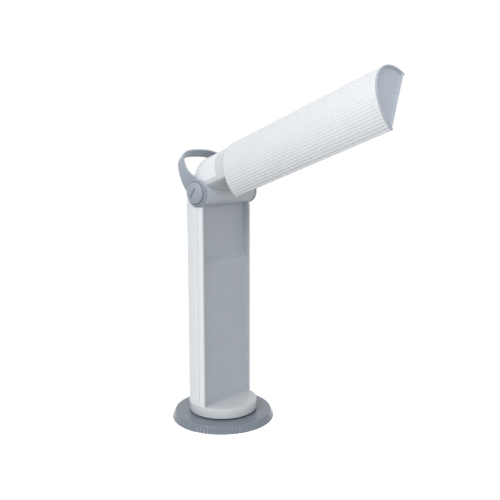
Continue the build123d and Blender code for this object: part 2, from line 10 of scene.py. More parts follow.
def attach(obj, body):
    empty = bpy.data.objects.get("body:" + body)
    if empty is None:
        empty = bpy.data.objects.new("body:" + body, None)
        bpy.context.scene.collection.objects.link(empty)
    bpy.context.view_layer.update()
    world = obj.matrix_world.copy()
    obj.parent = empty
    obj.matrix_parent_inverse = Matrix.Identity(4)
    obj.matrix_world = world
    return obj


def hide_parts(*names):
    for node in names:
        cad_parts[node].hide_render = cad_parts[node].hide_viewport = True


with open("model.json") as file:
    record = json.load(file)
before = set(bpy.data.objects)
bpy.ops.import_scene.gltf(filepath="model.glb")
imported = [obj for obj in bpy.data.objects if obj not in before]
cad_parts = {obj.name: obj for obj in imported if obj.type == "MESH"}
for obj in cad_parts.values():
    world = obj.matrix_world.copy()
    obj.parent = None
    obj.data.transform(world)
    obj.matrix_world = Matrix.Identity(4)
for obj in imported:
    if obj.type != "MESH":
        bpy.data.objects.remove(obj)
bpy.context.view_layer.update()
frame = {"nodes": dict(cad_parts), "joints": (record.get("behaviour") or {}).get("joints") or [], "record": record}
scene = bpy.context.scene
print("frame loaded:", len(frame["nodes"]), "nodes")

# Shapes are worked out in millimetres and written to the meshes in metres
mm = 0.001
joints = {joint["name"]: joint for joint in frame["joints"]}
hinge = np.array(joints["neck_tilt"]["pos_m"]) / mm
across = np.array([1.0, 0.0, 0.0])
neckAxis = np.array(joints["shade_twist"]["axis"])
neckUp = np.cross(neckAxis, across)
neckStart = np.array(joints["shade_twist"]["pos_m"]) / mm
twistRange = joints["shade_twist"]["range_deg"]
twist = math.radians(-sum(twistRange) / 2)  # the shade turns a quarter turn each way from upright
shadeUp = math.cos(twist) * neckUp - math.sin(twist) * across
shadeSide = math.cos(twist) * across + math.sin(twist) * neckUp
bodyOf = {node: body for body, nodes in frame["record"]["behaviour"]["bodies"].items() for node in nodes}
slotOf = {part["node"]: part["material_slot"] for part in frame["record"]["subparts"]}


# The camera stands in front of the lamp and to its left, a little above the hinge
cameraLook = dict(place=(-0.5573, -0.5562, 0.3278), heading=47.55, down=8.395, lens=46.53, sensor=36.0)


def addCamera(look):
    heading, down = math.radians(look["heading"]), math.radians(look["down"])
    forward = Vector((math.sin(heading) * math.cos(down), math.cos(heading) * math.cos(down), -math.sin(down)))
    right = Vector((math.cos(heading), -math.sin(heading), 0))
    up = right.cross(forward)
    data = bpy.data.cameras.new("camera")
    data.lens, data.sensor_width = look["lens"], look["sensor"]
    data.clip_start, data.clip_end = 0.01, 50
    camera = bpy.data.objects.new("camera", data)
    turn = Matrix((right, up, -forward)).transposed().to_4x4()
    camera.matrix_world = Matrix.Translation(look["place"]) @ turn
    scene.collection.objects.link(camera)
    scene.camera = camera


# World light grows evenly from the far side to the near one, and the key lamp is a wide soft panel on
# the camera's left; the fill lamp stands low in front, where it reaches under the neck
lightLook = dict(
    worldFar=0.12, worldNear=0.92, worldFrom=(-0.70, -0.45, 0.55), worldTint=(0.975, 0.99, 1.0),
    key=dict(place=(-3.6, -0.2, 3.4), aim=(0, 0, 0.25), size=2.4, watts=92.0, tint=(1.0, 0.997, 0.99)),
    fill=dict(place=(-1.6, -3.0, 0.50), aim=(0, 0, 0.27), size=2.0, watts=34.0, tint=(0.985, 0.993, 1.0)),
    floorTone=0.42, floorGlow=0.90, floorSize=6.0,
)


def addLamp(name, look):
    data = bpy.data.lights.new(name, "AREA")
    data.shape, data.size, data.energy = "DISK", look["size"], look["watts"]
    data.color = look["tint"]
    lamp = bpy.data.objects.new(name, data)
    lamp.location = look["place"]
    lamp.rotation_euler = (Vector(look["aim"]) - lamp.location).to_track_quat("-Z", "Y").to_euler()
    scene.collection.objects.link(lamp)


def seenDirectly(tree):
    # 1 for a ray from the camera, a mirror or glass, and 0 for the light that falls on the lamp
    path = tree.nodes.new("ShaderNodeLightPath")
    total = path.outputs["Is Camera Ray"]
    for kind in ("Is Glossy Ray", "Is Transmission Ray"):
        add = tree.nodes.new("ShaderNodeMath")
        add.operation, add.use_clamp = "ADD", True
        tree.links.new(total, add.inputs[0])
        tree.links.new(path.outputs[kind], add.inputs[1])
        total = add.outputs[0]
    return total


def addWorld(look):
    world = bpy.data.worlds.new("studio")
    world.use_nodes = True
    tree = world.node_tree
    tree.nodes.clear()
    light, backdrop = (tree.nodes.new("ShaderNodeBackground") for _ in range(2))
    light.inputs["Color"].default_value = (*look["worldTint"], 1)
    share = tree.nodes.new("ShaderNodeVectorMath")
    share.operation = "DOT_PRODUCT"
    share.inputs[1].default_value = Vector(look["worldFrom"]).normalized()
    strength = tree.nodes.new("ShaderNodeMapRange")
    ends = (("From Min", -1), ("From Max", 1), ("To Min", look["worldFar"]), ("To Max", look["worldNear"]))
    for socket, value in ends:
        strength.inputs[socket].default_value = value
    tree.links.new(tree.nodes.new("ShaderNodeTexCoord").outputs["Generated"], share.inputs[0])
    tree.links.new(share.outputs["Value"], strength.inputs["Value"])
    tree.links.new(strength.outputs["Result"], light.inputs["Strength"])
    backdrop.inputs["Color"].default_value = (1, 1, 1, 1)
    mix = tree.nodes.new("ShaderNodeMixShader")
    output = tree.nodes.new("ShaderNodeOutputWorld")
    tree.links.new(seenDirectly(tree), mix.inputs[0])
    tree.links.new(light.outputs[0], mix.inputs[1])
    tree.links.new(backdrop.outputs[0], mix.inputs[2])
    tree.links.new(mix.outputs[0], output.inputs[0])
    scene.world = world


def addFloor(look):
    half = look["floorSize"] / 2
    mesh = bpy.data.meshes.new("studio_floor")
    corners = [(-half, -half, 0), (half, -half, 0), (half, half, 0), (-half, half, 0)]
    mesh.from_pydata(corners, [], [(0, 1, 2, 3)])
    material = bpy.data.materials.new("studio_white")
    material.use_nodes = True
    tree = material.node_tree
    shader = tree.nodes["Principled BSDF"]
    shader.inputs["Base Color"].default_value = (*[look["floorTone"]] * 3, 1)
    shader.inputs["Roughness"].default_value = 0.9
    shader.inputs["Specular IOR Level"].default_value = 0.1
    glow, add = tree.nodes.new("ShaderNodeEmission"), tree.nodes.new("ShaderNodeAddShader")
    strength = tree.nodes.new("ShaderNodeMath")
    strength.operation = "MULTIPLY"
    strength.inputs[1].default_value = look["floorGlow"]
    tree.links.new(seenDirectly(tree), strength.inputs[0])
    tree.links.new(strength.outputs[0], glow.inputs["Strength"])
    tree.links.new(shader.outputs[0], add.inputs[0])
    tree.links.new(glow.outputs[0], add.inputs[1])
    tree.links.new(add.outputs[0], tree.nodes["Material Output"].inputs[0])
    mesh.materials.append(material)
    floor = bpy.data.objects.new("studio_floor", mesh)
    scene.collection.objects.link(floor)


scene.view_settings.view_transform = "Standard"
addCamera(cameraLook)
addWorld(lightLook)
addLamp("key_panel", lightLook["key"])
addLamp("fill_panel", lightLook["fill"])
addFloor(lightLook)
print("camera, floor and light placed")


# tone is the plain colour and drift how far it wanders, grain and grainSize are the height and the
# size of the surface's texture in millimetres, and gloss and spread are the roughness and its range
colourPatch, glossPatch = 35.0, 9.0  # millimetres over which the colour and the gloss wander
finishes = {
    "shade_white": dict(tone=(0.72, 0.735, 0.76), drift=0.012, grain=0.002, grainSize=0.5,
                        gloss=0.42, spread=0.06),
    "shell_white": dict(tone=(0.73, 0.755, 0.78), drift=0.012, grain=0.002, grainSize=0.5,
                        gloss=0.36, spread=0.06),
    # The foot's finish is a darker copy of the white shell plastic: painted shade for the light that falls off
    # towards the bottom of the lamp
    "foot_white_in_painted_shade": dict(tone=(0.54, 0.56, 0.585), drift=0.012, grain=0.002, grainSize=0.5,
                       gloss=0.36, spread=0.06),
    "panel_grey": dict(tone=(0.415, 0.45, 0.48), drift=0.02, grain=0.006, grainSize=0.35,
                       gloss=0.55, spread=0.08),
    "barrel_grey": dict(tone=(0.49, 0.53, 0.56), drift=0.02, grain=0.003, grainSize=0.4,
                        gloss=0.45, spread=0.08),
    "neck_grey": dict(tone=(0.57, 0.60, 0.63), drift=0.015, grain=0.002, grainSize=0.45,
                      gloss=0.20, spread=0.04),
    "end_grey": dict(tone=(0.42, 0.455, 0.515), drift=0.02, grain=0.003, grainSize=0.4,
                     gloss=0.45, spread=0.06),
    "handle_grey": dict(tone=(0.31, 0.345, 0.395), drift=0.02, grain=0.003, grainSize=0.4,
                        gloss=0.42, spread=0.08),
    "cap_grey": dict(tone=(0.31, 0.34, 0.395), drift=0.02, grain=0.003, grainSize=0.4,
                     gloss=0.40, spread=0.08),
    "base_grey": dict(tone=(0.175, 0.205, 0.24), drift=0.02, grain=0.003, grainSize=0.4,
                      gloss=0.22, spread=0.05),
    "rubber_black": dict(tone=(0.03, 0.03, 0.032), drift=0.1, grain=0.04, grainSize=0.8,
                         gloss=0.85, spread=0.08),
    "bearing_black": dict(tone=(0.035, 0.038, 0.042), drift=0.1, grain=0.01, grainSize=0.5,
                          gloss=0.5, spread=0.1),
    "holder_white": dict(tone=(0.78, 0.78, 0.75), drift=0.015, grain=0.01, grainSize=0.4,
                         gloss=0.5, spread=0.06),
    "switch_black": dict(tone=(0.03, 0.032, 0.035), drift=0.1, grain=0.015, grainSize=0.3,
                         gloss=0.45, spread=0.1),
    "board_green": dict(tone=(0.03, 0.16, 0.06), drift=0.2, grain=0.02, grainSize=1.5,
                        gloss=0.35, spread=0.1),
    "capacitor_blue": dict(tone=(0.03, 0.06, 0.22), drift=0.08, grain=0.01, grainSize=1.0,
                           gloss=0.3, spread=0.1),
    "weight_steel": dict(tone=(0.32, 0.32, 0.33), drift=0.08, grain=0.03, grainSize=1.2,
                         gloss=0.5, spread=0.15, metal=1.0),
    "steel": dict(tone=(0.62, 0.62, 0.63), drift=0.04, grain=0.002, grainSize=0.3,
                  gloss=0.28, spread=0.1, metal=1.0),
    "brass": dict(tone=(0.72, 0.52, 0.22), drift=0.05, grain=0.002, grainSize=0.3,
                  gloss=0.3, spread=0.1, metal=1.0),
    "copper": dict(tone=(0.60, 0.25, 0.10), drift=0.1, grain=0.1, grainSize=0.5,
                   gloss=0.3, spread=0.1, metal=1.0),
    "reflector_silver": dict(tone=(0.86, 0.87, 0.88), drift=0.01, grain=0.004, grainSize=1.0,
                             gloss=0.18, spread=0.06, metal=1.0),
    "lamp_glass": dict(tone=(0.86, 0.88, 0.90), drift=0.01, grain=0.002, grainSize=2.0,
                       gloss=0.08, spread=0.03, coat=0.6),
}


def noiseNode(tree, coordinates, size, detail):
    noise = tree.nodes.new("ShaderNodeTexNoise")
    noise.inputs["Scale"].default_value = 1 / (size * mm)
    noise.inputs["Detail"].default_value = detail
    tree.links.new(coordinates, noise.inputs["Vector"])
    return noise.outputs["Fac"]


def spreadNode(tree, source, low, high):
    # Stretches the middle of a noise, 0.3 to 0.7, over low to high
    spread = tree.nodes.new("ShaderNodeMapRange")
    for socket, value in (("From Min", 0.3), ("From Max", 0.7), ("To Min", low), ("To Max", high)):
        spread.inputs[socket].default_value = value
    tree.links.new(source, spread.inputs["Value"])
    return spread.outputs["Result"]


def makeFinish(name, look):
    # Broad noise moves the colour and the gloss a little, and fine noise is the surface's own texture
    material = bpy.data.materials.new(name)
    material.use_nodes = True
    tree = material.node_tree
    shader = tree.nodes["Principled BSDF"]
    shader.inputs["Metallic"].default_value = look.get("metal", 0.0)
    shader.inputs["Coat Weight"].default_value = look.get("coat", 0.0)
    where = tree.nodes.new("ShaderNodeTexCoord").outputs["Object"]
    broad = spreadNode(tree, noiseNode(tree, where, colourPatch, 3.0), 0.0, 1.0)
    blend = tree.nodes.new("ShaderNodeMix")
    blend.data_type = "RGBA"
    for socket, share in ((6, 1 - look["drift"]), (7, 1 + look["drift"])):
        blend.inputs[socket].default_value = (*[min(1.0, c * share) for c in look["tone"]], 1)
    tree.links.new(broad, blend.inputs[0])
    tree.links.new(blend.outputs[2], shader.inputs["Base Color"])
    low, high = look["gloss"] - look["spread"], look["gloss"] + look["spread"]
    roughness = spreadNode(tree, noiseNode(tree, where, glossPatch, 4.0), low, high)
    tree.links.new(roughness, shader.inputs["Roughness"])
    bump = tree.nodes.new("ShaderNodeBump")
    bump.inputs["Distance"].default_value = look["grain"] * mm
    tree.links.new(noiseNode(tree, where, look["grainSize"], 2.0), bump.inputs["Height"])
    tree.links.new(bump.outputs["Normal"], shader.inputs["Normal"])
    return material


materials = {name: makeFinish(name, look) for name, look in finishes.items()}
for node, piece in frame["nodes"].items():
    for place in piece.material_slots:
        place.material = materials[slotOf[node]]
print("finishes made:", len(materials))


def gridFaces(rows, columns, start):
    # The quads between neighbouring rows and columns of a grid of points
    first = np.arange(rows - 1)[:, None] * columns + np.arange(columns - 1)[None, :] + start
    return np.stack([first, first + 1, first + columns + 1, first + columns], -1).reshape(-1, 4)


def sewn(name, patches, sharp=30.0):
    # Turns grids of points, each rows by columns by 3, into one mesh with its touching edges welded
    points, faces, start = [], [], 0
    for patch in patches:
        rows, columns = patch.shape[:2]
        points.append(patch.reshape(-1, 3) * mm)
        faces.append(gridFaces(rows, columns, start))
        start += rows * columns
    mesh = bpy.data.meshes.new(name)
    mesh.from_pydata(np.concatenate(points).tolist(), [], np.concatenate(faces).tolist())
    return cleaned(mesh, sharp)


def cleaned(mesh, sharp, flatten=False):
    # Merges doubles, closes poles and turns the faces outwards; edges past the sharp angle stay crisp
    work = bmesh.new()
    work.from_mesh(mesh)
    bmesh.ops.remove_doubles(work, verts=work.verts, dist=0.002 * mm)
    if flatten:
        bmesh.ops.dissolve_limit(work, angle_limit=math.radians(0.3), verts=work.verts, edges=work.edges)
    bmesh.ops.recalc_face_normals(work, faces=work.faces)
    work.to_mesh(mesh)
    work.free()
    mesh.polygons.foreach_set("use_smooth", np.ones(len(mesh.polygons), bool))
    mesh.set_sharp_from_angle(angle=math.radians(sharp))
    mesh.update()
    return mesh


def dressed(name, mesh, node, wall=0.0, edge=0.0, slot=None, finish=None):
    # Places a finished piece over its CAD node, with a wall inwards and rounded edges where they are given
    piece = bpy.data.objects.new(name, mesh)
    scene.collection.objects.link(piece)
    slot = slot or slotOf[node]
    mesh.materials.clear()
    mesh.materials.append(materials[finish or slot])
    if wall:
        solid = piece.modifiers.new("wall", "SOLIDIFY")
        solid.thickness, solid.offset, solid.use_even_offset = wall * mm, -1.0, True
    if edge:
        bevel = piece.modifiers.new("edges", "BEVEL")
        bevel.width, bevel.segments, bevel.limit_method = edge * mm, 3, "ANGLE"
        bevel.angle_limit, bevel.harden_normals = math.radians(40), True
    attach(piece, bodyOf[node])
    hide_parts(node)
    return piece


def roundedCopy(name, node, edge):
    # A CAD node whose form is right, merged, with its edges broken as a mould leaves them
    mesh = frame["nodes"][node].data.copy()
    mesh.name = name
    if mesh.has_custom_normals:
        mesh.attributes.remove(mesh.attributes["custom_normal"])
    return dressed(name, cleaned(mesh, 40.0, flatten=True), node, edge=edge)


def carried(profile, angles, centre=(0.0, 0.0, 0.0)):
    # A profile of (radius, height) rows carried round Z through centre, one column for each angle
    radius, height = np.array(profile, float).T
    x = radius[:, None] * np.cos(angles)[None, :]
    y = radius[:, None] * np.sin(angles)[None, :]
    z = np.repeat(height[:, None], len(angles), axis=1)
    return np.stack([x, y, z], -1) + np.array(centre)


def inFrame(local, origin, sideways, upright, along):
    # Moves points given as (sideways, upright, along) into the lamp's frame
    return origin + local[..., :1] * sideways + local[..., 1:2] * upright + local[..., 2:3] * along


shadeLook = dict(start=47.6, end=254.4, radius=40.5, halfAngle=80.65, ribAngle=77.9, ribs=33, ribDepth=0.30,
                 perRib=14, wall=1.6, bead=1.35, lip=0.4)


def shadeWalls(look):
    # Outer and inner distance from the twist axis for every angle: ribs are parabolas over the root,
    # and the long edges end in beads, circles whose near and far sides are taken along the radius
    half, bead, ribHalf = math.radians(look["halfAngle"]), look["bead"], math.radians(look["ribAngle"])
    root, centre = look["radius"] - look["ribDepth"], look["radius"] - look["bead"]
    reach = math.asin(bead / centre)
    ribbed = np.linspace(-ribHalf, ribHalf, look["ribs"] * look["perRib"] + 1)
    roundTip = half + reach * np.sin(np.linspace(0, math.pi / 2, 10))
    tip = np.concatenate([np.linspace(ribHalf, half, 12)[1:-1], roundTip])
    angle = np.concatenate([-tip[::-1], ribbed, tip])
    phase = np.mod((angle + ribHalf) / (2 * ribHalf) * look["ribs"], 1.0)
    inside, onRibs = np.abs(angle) <= half, np.abs(angle) <= ribHalf
    outer = np.where(inside, root + look["ribDepth"] * (1 - (2 * phase - 1) ** 2) * onRibs, 0.0)
    inner = np.where(inside, root - look["wall"], 1e3)
    off = np.abs(angle) - half
    chord = np.sqrt(np.clip(bead ** 2 - (centre * np.sin(off)) ** 2, 0, None))
    onBead = np.abs(off) <= reach * (1 + 1e-6)
    outer = np.where(onBead, np.maximum(outer, centre * np.cos(off) + chord), outer)
    inner = np.where(onBead, np.minimum(inner, centre * np.cos(off) - chord), inner)
    return angle, outer, inner


def shadeShell(look):
    # The two walls run straight along the axis, and both ends are rounded over the lip
    angle, outer, inner = shadeWalls(look)
    middle, half = (outer + inner) / 2, (outer - inner) / 2
    turn = np.linspace(0, math.pi / 2, 4)
    rise, shrink = look["lip"] * (1 - np.cos(turn)), look["lip"] * (1 - np.sin(turn)) / (look["wall"] / 2)
    along = np.concatenate([look["start"] + rise, (look["end"] - rise)[::-1]])
    keep = 1 - np.concatenate([shrink, shrink[::-1]])

    def wall(side):
        radius = middle[None, :] + side * half[None, :] * keep[:, None]
        local = np.stack([radius * np.sin(angle), radius * np.cos(angle),
                          np.repeat(along[:, None], len(angle), 1)], -1)
        return inFrame(local, neckStart, shadeSide, shadeUp, neckAxis)

    outside, lining = wall(1), wall(-1)
    ends = [np.stack([outside[k], lining[k]]) for k in (0, -1)]
    return sewn("shade_ribbed_shell", [outside, lining, *ends])


dressed("shade_ribbed_shell", shadeShell(shadeLook), "shade_shell")

# Each row of the end cap's profile is (inset from the shell's outline, share of the outline, distance along)
endCapLook = dict(radius=40.4, chord=6.6, middle=22.0, end=256.2, cornerPower=40, columns=300, tabRadius=1.4,
                  profile=((2.4, 0.0, 252.2), (2.4, 0.5, 252.2), (2.4, 1.0, 252.2), (2.2, 1, 252.4),
                           (2.2, 1, 254.42), (0.3, 1, 254.42), (0.1, 1, 254.5), (0, 1, 254.7), (0, 1, 255.7),
                           (0.12, 1, 256), (0.4, 1, 256.18), (0.7, 1, 256.2), (1.3, 1, 256.2), (1.6, 1, 256.1),
                           (1.8, 1, 255.8), (2.0, 1, 254.6), (2.2, 1, 254.25), (2.7, 1, 254.1),
                           (2.7, 0.7, 254.1), (2.7, 0.4, 254.1), (2.7, 0.0, 254.1)))


def halfMoon(look, inset, angle):
    # Distance from a middle point to the arc or to the straight edge, whichever is nearer, with the
    # corner between them softened by a power mean
    lift = look["middle"] * np.cos(angle)
    arc = -lift + np.sqrt(lift ** 2 - look["middle"] ** 2 + (look["radius"] - inset) ** 2)
    down = np.maximum(-np.cos(angle), 1e-3)
    straight = (look["middle"] - look["chord"] - inset) / down
    power = look["cornerPower"]
    return (arc ** -power + straight ** -power) ** (-1 / power)


def farEndCap(look, shell):
    angle = np.linspace(0, 2 * math.pi, look["columns"] + 1)
    rows = []
    for inset, share, along in look["profile"]:
        radius = halfMoon(look, inset, angle) * share
        rows.append(np.stack([radius * np.sin(angle), look["middle"] + radius * np.cos(angle),
                              np.full_like(angle, along)], -1))
    patches = [inFrame(np.stack(rows), neckStart, shadeSide, shadeUp, neckAxis)]
    # A little round tab closes the end of each edge bead
    tab, start, end = look["tabRadius"], shell["end"] + 0.02, look["end"]
    profile = [(0, start), (tab, start), (tab, end - 0.4), (tab - 0.15, end - 0.12), (tab - 0.45, end), (0, end)]
    ring = carried(profile, np.linspace(0, 2 * math.pi, 25))
    centre = shell["radius"] - shell["bead"]
    for side in (-1, 1):
        turn = side * math.radians(shell["halfAngle"])
        local = ring + np.array([centre * math.sin(turn), centre * math.cos(turn), 0])
        patches.append(inFrame(local, neckStart, shadeSide, shadeUp, neckAxis))
    return sewn("shade_end_cap", patches)


dressed("shade_end_cap", farEndCap(endCapLook, shadeLook), "far_end_cap")

tubeLook = dict(radius=6.0, spacing=15.0, height=22.0, start=95.2, end=237.2, tip=4.5, bridgeBack=14.0,
                bridgeRadius=3.0, bridgeSwell=0.9, bridgeSink=1.5)


def lampTubes(look):
    # Two straight tubes with rounded tips, and a short round bridge between them near the tips
    angles = np.linspace(0, 2 * math.pi, 49)
    turn = np.linspace(0, math.pi / 2, 10)
    tip = look["tip"]
    flat = look["radius"] - tip
    profile = [(0, look["start"]), (look["radius"], look["start"])]
    profile += [(flat + tip * math.cos(t), look["end"] - tip + tip * math.sin(t)) for t in turn]
    profile.append((0, look["end"]))
    tube = carried(profile, angles)
    patches = []
    for side in (-1, 1):
        local = tube + np.array([side * look["spacing"] / 2, look["height"], 0])
        patches.append(inFrame(local, neckStart, shadeSide, shadeUp, neckAxis))
    reach = look["spacing"] / 2 - look["radius"] + look["bridgeSink"]
    ends = np.linspace(-reach, reach, 9)
    swell = look["bridgeRadius"] + look["bridgeSwell"] * (ends / reach) ** 4
    bridge = carried([(0, -reach), *zip(swell, ends), (0, reach)], angles)
    local = np.stack([bridge[..., 2], look["height"] + bridge[..., 1],
                      look["end"] - look["bridgeBack"] + bridge[..., 0]], -1)
    patches.append(inFrame(local, neckStart, shadeSide, shadeUp, neckAxis))
    return sewn("lamp_twin_tube", patches)


dressed("lamp_twin_tube", lampTubes(tubeLook), "lamp_tubes")
print("shade built")


hoodLook = dict(radius=38.4, rear=24.0, wall=2.3, lowEdge=3.3, frontLow=33.6, frontSlope=0.17, hingeDrop=6.28,
                notch=15.4, rows=30, edge=0.5)


def notchEdge(look, along):
    # Height of the hood's lower edge: level, and arched over the hinge barrel
    arch = np.sqrt(np.clip(look["notch"] ** 2 - along ** 2, 0, None)) - look["hingeDrop"]
    return np.maximum(look["lowEdge"], np.where(np.abs(along) < look["notch"], arch, -1e3))


def neckHood(look):
    # A quarter circle carried along a U: straight on each side of the neck and half an ellipse behind
    # the hinge, so the side walls flow into a flattened dome
    radius = look["radius"]
    kink = math.sqrt(look["notch"] ** 2 - (look["lowEdge"] + look["hingeDrop"]) ** 2)
    kinkTurn = math.asin(kink / look["rear"])
    straight = np.concatenate([np.linspace(look["frontLow"], kink, 18)[:-1], np.linspace(kink, 0, 12)[:-1]])
    turn = np.concatenate([np.linspace(0, kinkTurn, 10)[:-1], np.linspace(kinkTurn, math.pi - kinkTurn, 60)[:-1],
                           np.linspace(math.pi - kinkTurn, math.pi, 10)])
    base = np.concatenate([straight, np.zeros(len(turn)), straight[::-1]])
    angle = np.concatenate([np.zeros(len(straight)), turn, np.full(len(straight), math.pi)])

    def spot(lift):
        height = radius * np.sin(lift)
        share = (look["frontLow"] - look["frontSlope"] * height) / look["frontLow"]
        return height, base * share - look["rear"] * np.cos(lift) * np.sin(angle)

    low = np.full(len(base), math.asin(look["lowEdge"] / radius))
    for _ in range(8):
        low = np.arcsin(notchEdge(look, spot(low)[1]) / radius)
    share = np.linspace(0, 1, look["rows"])[:, None]
    lift = low[None, :] + (math.pi / 2 - low[None, :]) * share
    height, along = spot(lift)
    local = np.stack([radius * np.cos(lift) * np.cos(angle), height, along], -1)
    return sewn("neck_hood", [inFrame(local, neckStart, across, neckUp, neckAxis)])


dressed("neck_hood", neckHood(hoodLook), "hood", wall=hoodLook["wall"], edge=hoodLook["edge"])

collarLook = dict(radius=38.6, belly=9.2, bellyPower=1.85, wall=2.2, split=3.0, gap=0.3, end=46.8, endRound=0.8,
                  edge=0.4, holeSide=26.0, holeAlong=23.0, holeRadius=1.95, holeDepth=1.7)


def neckCollar(look, hood):
    # A section of half a circle above and a shallow superellipse below. Above the split it starts at
    # the hood's front edge, and below it runs back as a tongue to the hinge barrel. Two screw holes
    # are dents in the tongue, deep within the hole's radius and falling off over a short rim
    start = math.asin(look["split"] / look["radius"])
    upper = np.linspace(start, math.pi - start, 110)
    lower = np.concatenate([np.linspace(math.pi - start, math.pi, 5)[:-1],
                            np.linspace(math.pi, 2 * math.pi, 240)[:-1],
                            np.linspace(2 * math.pi, 2 * math.pi + start, 5)])

    def section(angle, inset):
        reach = look["radius"] - inset
        drop = np.abs(1 - np.abs(np.cos(angle)) ** look["bellyPower"]) ** (1 / look["bellyPower"])
        below = -(look["belly"] - inset) * drop
        return reach * np.cos(angle), np.where(np.sin(angle) >= -1e-9, reach * np.sin(angle), below)

    def front(height):
        return hood["frontLow"] - hood["frontSlope"] * height + look["gap"]

    def grid(angle, inset, along):
        side, height = section(angle, inset)
        rows = np.broadcast_to(along, (len(along), len(angle)))
        away = np.hypot(np.abs(side)[None, :] - look["holeSide"], rows - look["holeAlong"])
        dent = look["holeDepth"] / (1 + np.exp(np.clip((away - look["holeRadius"]) / 0.1, -40, 40)))
        height = height + dent * (height < 0)
        local = np.stack([np.broadcast_to(side, rows.shape), height, rows], -1)
        return inFrame(local, neckStart, across, neckUp, neckAxis)

    corner = look["endRound"]
    wallEnd, join = look["end"] - corner, front(look["split"])
    share = np.linspace(0, 1, 10)[:, None]
    upHeight, lowHeight = section(upper, 0)[1], section(lower, 0)[1]
    patches = [grid(upper, 0, front(upHeight) + (wallEnd - front(upHeight)) * share)]
    patches.append(grid(lower, 0, join + (wallEnd - join) * share + 0 * lowHeight))
    back = np.sqrt(hood["notch"] ** 2 - (lowHeight + hood["hingeDrop"]) ** 2)
    patches.append(grid(lower, 0, back + (join - back) * np.linspace(0, 1, 60)[:, None]))
    # The end turns in over a small radius and closes in a flat plate
    turn = np.linspace(0, math.pi / 2, 5)
    whole = np.concatenate([upper, lower[1:]])
    rows = [grid(whole, corner * (1 - math.cos(t)), np.full((1, 1), wallEnd + corner * math.sin(t)))
            for t in turn]
    centre = neckStart + look["end"] * neckAxis
    rim = rows[-1]
    rows += [centre + (rim - centre) * part for part in (0.8, 0.4, 0.0)]
    patches.append(np.concatenate(rows))
    return sewn("neck_collar", patches)


collar = neckCollar(collarLook, hoodLook)
dressed("neck_collar", collar, "neck_shell", wall=collarLook["wall"], edge=collarLook["edge"])
print("neck built")


handleLook = dict(lean=43.4, outerHalf=46.3, outerHeight=65.4, innerHalf=43.5, innerHeight=62.6, power=2.9,
                  eyeInner=41.0, eyeOuter=43.8, eyeRadius=15.4, eyeTuck=0.8, drawStart=14.0, drawRange=8.0,
                  slim=5.8, flare=10.4, flareRange=21.5, flarePower=1.54, corner=1.1, tipGap=0.02,
                  rimInner=13.9, rimOuter=44.6, rimSink=0.3)


def handleAxes(look):
    lean = math.radians(look["lean"])
    return np.array([0, math.sin(lean), math.cos(lean)]), np.array([0, math.cos(lean), -math.sin(lean)])


def handleStrap(look):
    # A rounded rectangle carried over the arch between two superellipses, whose feet draw in to the
    # eyes. Below the hinge it ends in a disc, and above it the width falls off as a bell curve
    eye = look["eyeRadius"] - look["tipGap"]
    below = -eye * np.cos(np.linspace(0, math.pi / 2, 26))[:-1]
    share = np.linspace(0, 1, 90)
    turn = math.pi / 2 * share * share * (3 - 2 * share)

    def arch(half, height, foot):
        side = half * np.abs(np.cos(turn)) ** (2 / look["power"])
        rise = height * np.abs(np.sin(turn)) ** (2 / look["power"])
        drawn = np.exp(-(np.maximum(0, rise - look["drawStart"]) / look["drawRange"]) ** 2)
        side = side + (foot - side) * drawn
        side[-1] = 0
        return side, rise

    outSide, outUp = arch(look["outerHalf"], look["outerHeight"], look["eyeOuter"])
    inSide, inUp = arch(look["innerHalf"], look["innerHeight"], look["eyeInner"])
    steady = np.ones(len(below))
    outer = np.stack([np.concatenate([look["eyeOuter"] * steady, outSide]), np.concatenate([below, outUp])], -1)
    inner = np.stack([np.concatenate([look["eyeInner"] * steady, inSide]), np.concatenate([below, inUp])], -1)
    outer = np.concatenate([outer, outer[-2::-1] * [-1, 1]])
    inner = np.concatenate([inner, inner[-2::-1] * [-1, 1]])
    middle, reach = (outer + inner) / 2, (outer - inner) / 2
    up = middle[:, 1]
    eyeHalf = np.sqrt(np.clip(look["eyeRadius"] ** 2 - up ** 2, 0, None))
    bell = look["slim"] + look["flare"] * np.exp(-(np.abs(up) / look["flareRange"]) ** look["flarePower"])
    half = np.where(up < 0, eyeHalf, bell)
    half = np.where((up >= 0) & (up < look["eyeRadius"]), np.maximum(half - look["eyeTuck"], eyeHalf), half)
    thick = np.linalg.norm(reach, axis=1)
    corner = np.minimum(look["corner"], 0.45 * half)
    # Section: four quarter circles in (across, through) and straight runs between them
    quarter = np.linspace(0, math.pi / 2, 7)
    signs = [(1, 1, 0), (-1, 1, 1), (-1, -1, 2), (1, -1, 3)]
    flat, through = [], []
    for signFlat, signThrough, step in signs:
        spin = quarter + step * math.pi / 2
        flat.append(signFlat * (half - corner)[:, None] + corner[:, None] * np.cos(spin)[None, :])
        through.append(signThrough * (thick - corner)[:, None] + corner[:, None] * np.sin(spin)[None, :])
    flat, through = np.concatenate(flat, 1), np.concatenate(through, 1)
    flat, through = (np.concatenate([v, v[:, :1]], 1) for v in (flat, through))
    upright, level = handleAxes(look)
    direction = reach / thick[:, None]
    side = middle[:, :1] + direction[:, :1] * through
    height = middle[:, 1:] + direction[:, 1:] * through
    tube = hinge + side[..., None] * across + height[..., None] * upright + flat[..., None] * level
    ends = [np.stack([tube[k], np.broadcast_to(tube[k].mean(0), tube[k].shape)]) for k in (0, -1)]
    return sewn("handle_strap", [tube, *ends], sharp=40)


def aroundHinge(profile, columns, side):
    # A profile of (radius, distance from the middle plane) carried round the hinge on one side
    ring = carried(profile, np.linspace(0, 2 * math.pi, columns + 1))
    local = np.stack([ring[..., 2] * side, ring[..., 0], ring[..., 1]], -1)
    return hinge + local


